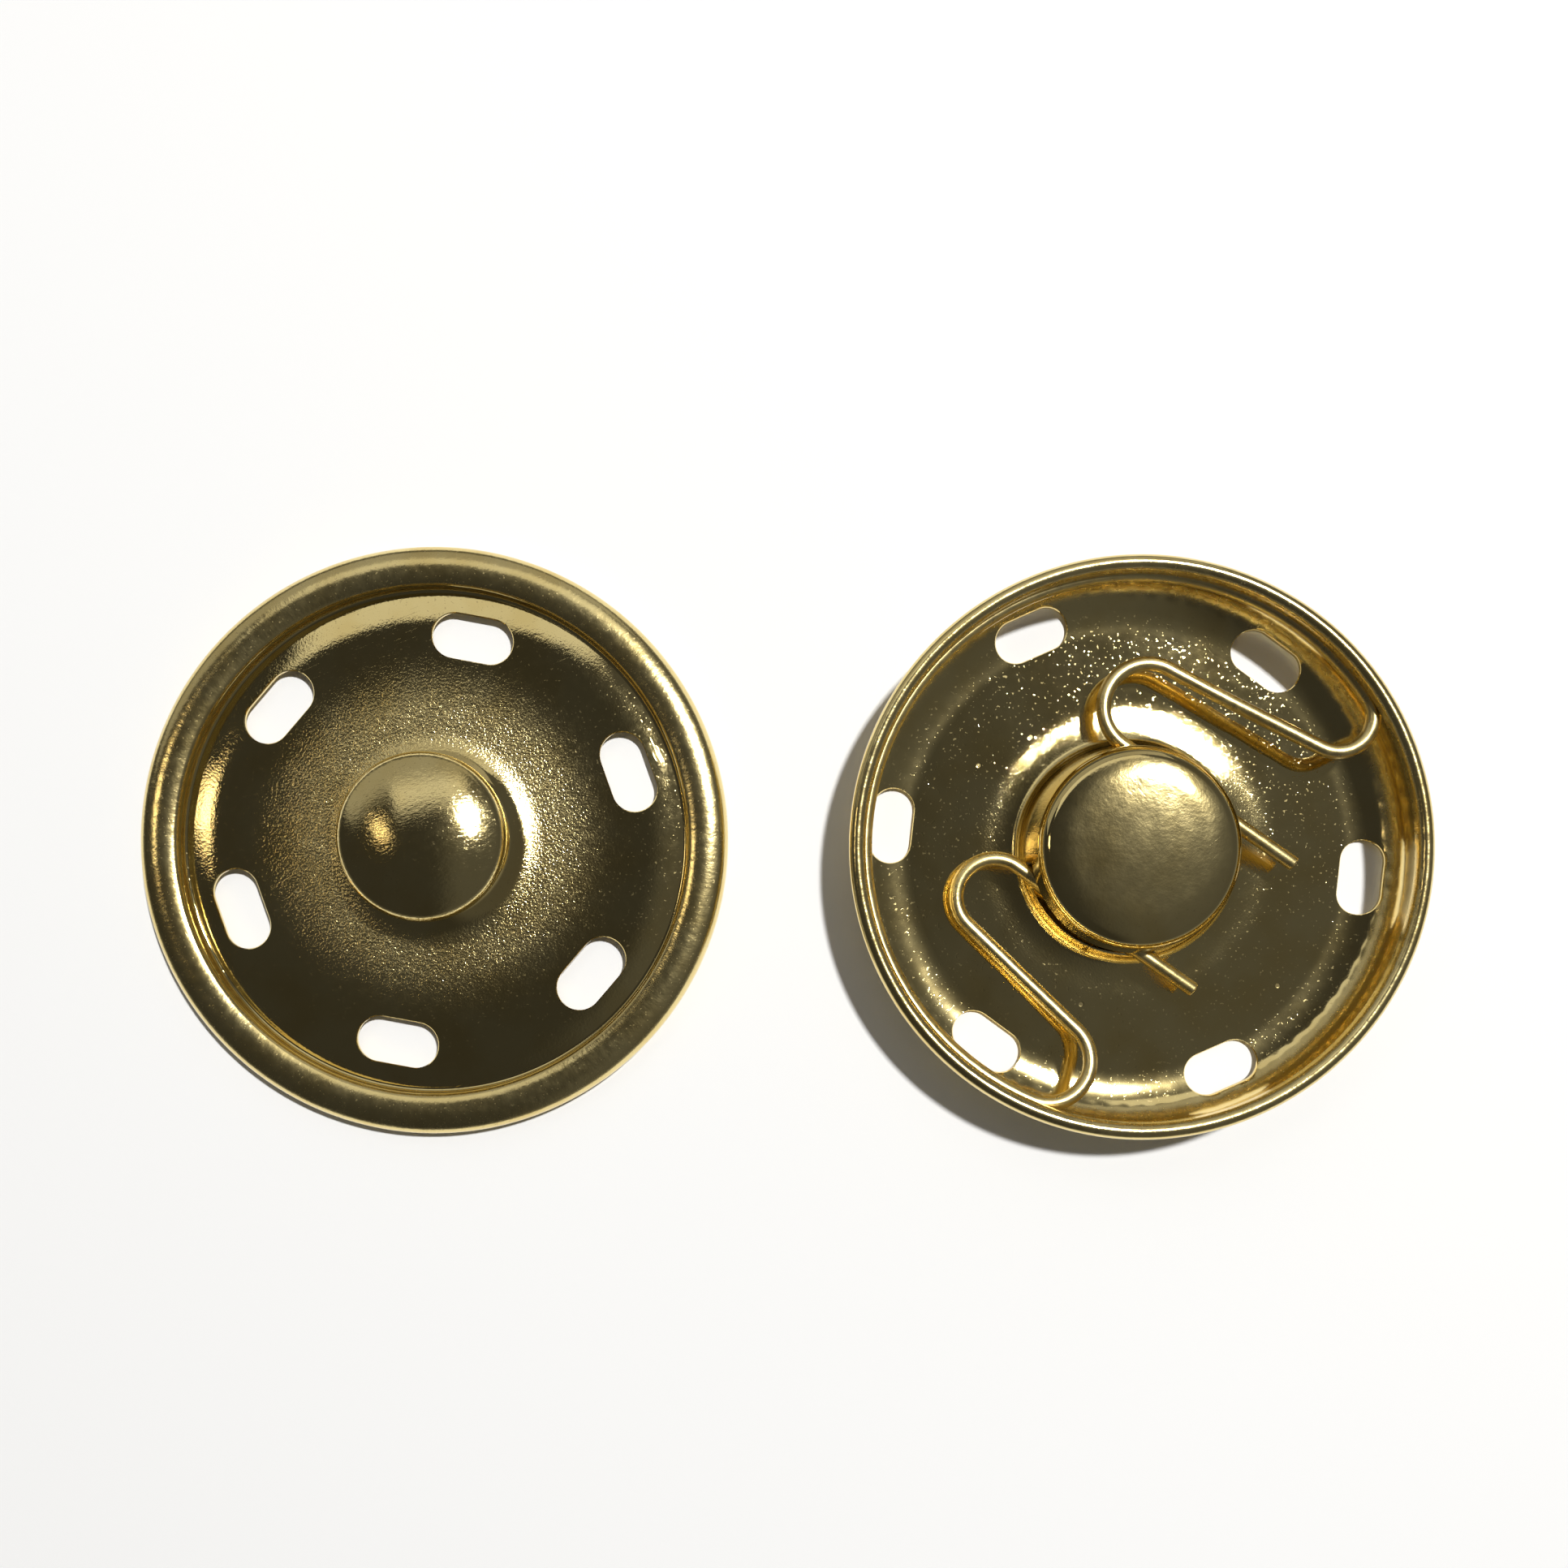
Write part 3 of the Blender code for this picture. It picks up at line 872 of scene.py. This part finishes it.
def socketFinish():
    metal = socketMetal
    finish = Finish("gilt_socket")
    spot, x, y, z, distance = aboutAxis(finish, socketPlace)
    specks = grit(finish, spot, metal["speckScale"], *metal["speckSpan"])
    capHere = distance.fall(metal["capEdge"]) * z.rise(metal["capUp"])
    drawnHere = distance.rise(metal["drawnFrom"]) * distance.fall(metal["drawnTo"])
    floorHere = distance.rise(metal["floorFrom"]) * distance.fall(metal["floorTo"])
    bowlHere = distance.rise(metal["bowlFrom"]) * distance.fall(metal["bowlTo"])
    wallHere = distance.rise(metal["wallFrom"]) * distance.fall(metal["wallTo"],
                                                                metal["wallLeast"])
    rimHere = distance.rise(metal["rimFrom"])
    blotches = noise(finish, spot, metal["blotchScale"], 3.0, 0.6) * capHere
    grain = noise(finish, spot, metal["grainScale"], 3.0, 0.7, metal["grainStretch"],
                  metal["grainTurn"]) * drawnHere
    dents = grit(finish, spot, metal["dentScale"], *metal["dentSpan"]) * floorHere
    folds = scallops(finish, spot, x, y, metal["scallopCount"], metal["scallopJitter"]) * wallHere
    creases = wrinkles(finish, x, y, distance, metal["creaseCount"],
                       metal["creaseAlong"]) * rimHere
    worn = mark(finish, x, y, metal["marks"][0], metal["markReach"])
    for place in metal["marks"][1:]:
        worn = worn + mark(finish, x, y, place, metal["markReach"])
    bump(finish, [(blotches, metal["blotchDepth"]), (grain, metal["grainDepth"]),
                  (dents, -metal["dentDepth"]), (folds, metal["scallopDepth"]),
                  (creases, metal["creaseDepth"]), (worn, -metal["markDepth"])]
         + sheetWear(finish, spot, metal))
    satin = (capHere * metal["capRough"] + wallHere * metal["wallRough"]
             + rimHere * metal["rimRough"] + drawnHere * metal["drawnRough"]
             + bowlHere * metal["bowlRough"])
    flecks = specks * (1.0 - capHere)
    tint = (specks * metal["speckTint"] + worn).clamp()
    finish.join(giltColour(finish, spot, tint), "Base Color")
    finish.join(unevenShine(finish, spot, metal) + satin + flecks * metal["speckRough"]
                + worn * metal["markRough"] + gilt["roughness"], "Roughness")
    finish.shader.inputs["Metallic"].default_value = 1.0
    return finish.material


wireMetal = {
    "speckScale": 7.0,
    "speckSpan": (0.70, 0.78),
    "grainScale": 7.0,
    "grainDepth": 0.005,
    "unevenScale": 2.5,
    "roughSpan": (0.27, 0.35),
}


def wireFinish():
    metal = wireMetal
    finish = Finish("gilt_wire")
    spot = aboutAxis(finish, socketPlace)[0]
    specks = grit(finish, spot, metal["speckScale"], *metal["speckSpan"])
    bump(finish, [(noise(finish, spot, metal["grainScale"]), metal["grainDepth"])])
    finish.join(giltColour(finish, spot, specks), "Base Color")
    uneven = noise(finish, spot, metal["unevenScale"])
    finish.join(uneven.ramp(*gilt["noiseSpan"], *metal["roughSpan"]), "Roughness")
    finish.shader.inputs["Metallic"].default_value = 1.0
    return finish.material


def dress(piece, material, node):
    piece.data.materials.clear()
    piece.data.materials.append(material)
    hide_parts(node)
    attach(piece, "root")


# camera, floor and light

view = {
    "height": 82.0 * mm,
    "nadir": (1000.0, 1160.0),
    "studAxis": (540.5, 1036.5),
    "perMm": 24.07,
    "image": 1932.0,
    "sensor": 36.0,
    "clip": (0.001, 20.0),
}


def makeCamera():
    # the photograph was taken from straight above, and its frame lies off to one side
    across = (view["nadir"][0] - view["studAxis"][0]) / view["perMm"] * mm
    up = (view["studAxis"][1] - view["nadir"][1]) / view["perMm"] * mm
    camera = bpy.data.cameras.new("camera")
    camera.sensor_width = view["sensor"]
    camera.sensor_fit = "HORIZONTAL"
    camera.lens = view["sensor"] * view["height"] / (view["image"] / view["perMm"] * mm)
    camera.shift_x = 0.5 - view["nadir"][0] / view["image"]
    camera.shift_y = view["nadir"][1] / view["image"] - 0.5
    camera.clip_start, camera.clip_end = view["clip"]
    stand = bpy.data.objects.new("camera", camera)
    stand.location = studPlace + Vector((across, up, view["height"]))
    scene.collection.objects.link(stand)
    scene.camera = stand


paper = {"radius": 1.5, "steps": 64, "colour": (0.95, 0.95, 0.95, 1.0), "roughness": 0.9}


def makeFloor():
    bm = bmesh.new()
    bmesh.ops.create_circle(bm, cap_ends=True, radius=paper["radius"], segments=paper["steps"])
    floor = pieceFrom(bm, "floor")
    floor.location.z = cadBox[0][2]
    matt = Finish("paper")
    matt.shader.inputs["Base Color"].default_value = paper["colour"]
    matt.shader.inputs["Roughness"].default_value = paper["roughness"]
    floor.data.materials.append(matt.material)


# azimuth is from +X and lean from straight up, and the first size lies level
lamps = {
    "key": {"azimuth": 41.7, "lean": 23.2, "size": (0.035, 0.03), "power": 3.5,
            "colour": (1.0, 0.995, 0.98)},
    "panel": {"azimuth": 104.0, "lean": 32.0, "size": (0.48, 0.18), "power": 0.17,
              "colour": (1.0, 0.99, 0.96)},
    "glow": {"azimuth": 112.0, "lean": 56.0, "size": (1.20, 0.32), "power": 0.36,
             "colour": (1.0, 0.99, 0.95)},
    "bulb": {"azimuth": 170.0, "lean": 38.0, "size": (0.05, 0.10), "power": 0.06,
             "colour": (1.0, 0.86, 0.62)},
}
lampDistance = 0.6


def makeLamps():
    for name, lamp in lamps.items():
        light = bpy.data.lights.new(name, "AREA")
        light.shape = "RECTANGLE"
        light.size, light.size_y = lamp["size"]
        light.energy = lamp["power"]
        light.color = lamp["colour"]
        stand = bpy.data.objects.new(name, light)
        azimuth, lean = math.radians(lamp["azimuth"]), math.radians(lamp["lean"])
        level = Vector((-math.sin(azimuth), math.cos(azimuth), 0.0))
        ahead = Vector((math.cos(azimuth), math.sin(azimuth), 0.0))
        toward = ahead * math.sin(lean) + Vector((0.0, 0.0, math.cos(lean)))
        stand.location = toward * lampDistance
        # the lamp's X lies level, and its -Z points at the object
        stand.rotation_euler = Matrix((level, toward.cross(level), toward)).transposed().to_euler()
        stand.visible_camera = False
        scene.collection.objects.link(stand)


# a dark room above, paler towards the horizon and on its right side
room = {"horizon": 0.16, "overhead": 0.035, "from": 0.06, "to": 0.34,
        "right": 0.045, "rightFrom": -0.08, "rightTo": 0.22}


def makeWorld():
    world = bpy.data.worlds.new("studio")
    scene.world = world
    world.use_nodes = True
    tree = world.node_tree
    background = tree.nodes["Background"]
    coords = tree.nodes.new("ShaderNodeTexCoord")
    split = tree.nodes.new("ShaderNodeSeparateXYZ")
    tree.links.new(coords.outputs["Generated"], split.inputs[0])
    both = tree.nodes.new("ShaderNodeMath")
    parts = (("Z", room["from"], room["to"], room["horizon"], room["overhead"]),
             ("X", room["rightFrom"], room["rightTo"], 0.0, room["right"]))
    for index, (axis, low, high, toLow, toHigh) in enumerate(parts):
        shade = tree.nodes.new("ShaderNodeMapRange")
        shade.interpolation_type = "SMOOTHSTEP"
        for name, value in (("From Min", low), ("From Max", high), ("To Min", toLow),
                            ("To Max", toHigh)):
            shade.inputs[name].default_value = value
        tree.links.new(split.outputs[axis], shade.inputs["Value"])
        tree.links.new(shade.outputs[0], both.inputs[index])
    tree.links.new(both.outputs[0], background.inputs["Color"])
    background.inputs["Strength"].default_value = 1.0


print("turning the stud half")
dress(makeStud(), studFinish(), "stud_half")
print("turning the socket half")
dress(makeSocket(), socketFinish(), "socket_half")
print("bending the spring")
dress(makeSpring(), wireFinish(), "wire_spring")
print("floor, light and camera")
makeFloor()
makeLamps()
makeWorld()
makeCamera()
scene.view_settings.view_transform = "Standard"
